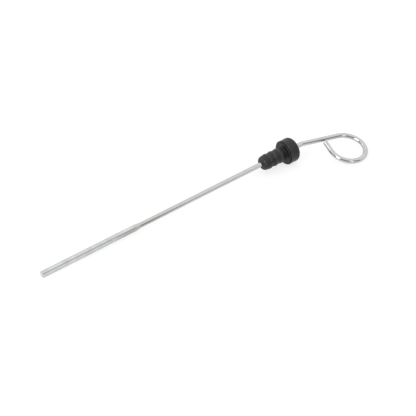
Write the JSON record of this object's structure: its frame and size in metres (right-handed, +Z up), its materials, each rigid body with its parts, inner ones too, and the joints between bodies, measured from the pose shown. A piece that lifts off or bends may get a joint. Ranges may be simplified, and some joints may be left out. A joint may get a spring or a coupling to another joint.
{
  "type": "engine oil dipstick",
  "caption": "Engine oil dipstick: a bent plated steel wire with a pressed square blade at its tip and a finger eye, and a ribbed rubber plug with a cap that seals the guide tube.",
  "frame": {"origin": "on the wire's axis, in the plane of the plug's seat, which lands on the mouth of the guide tube", "axes": "+X along the shaft from the tip to the finger eye, raised by the two degrees at which the dipstick rests; +Z up; the eye bends out to -Y"},
  "size_m": [0.3601, 0.0592, 0.0252],
  "materials": {
    "plated_steel": "bright plated, drawn wire",
    "moulded_rubber": "moulded, satin"
  },
  "bodies": {
    "root": {"dipstick_wire": "plated_steel", "rubber_plug": "moulded_rubber"}
  },
  "joints": []
}
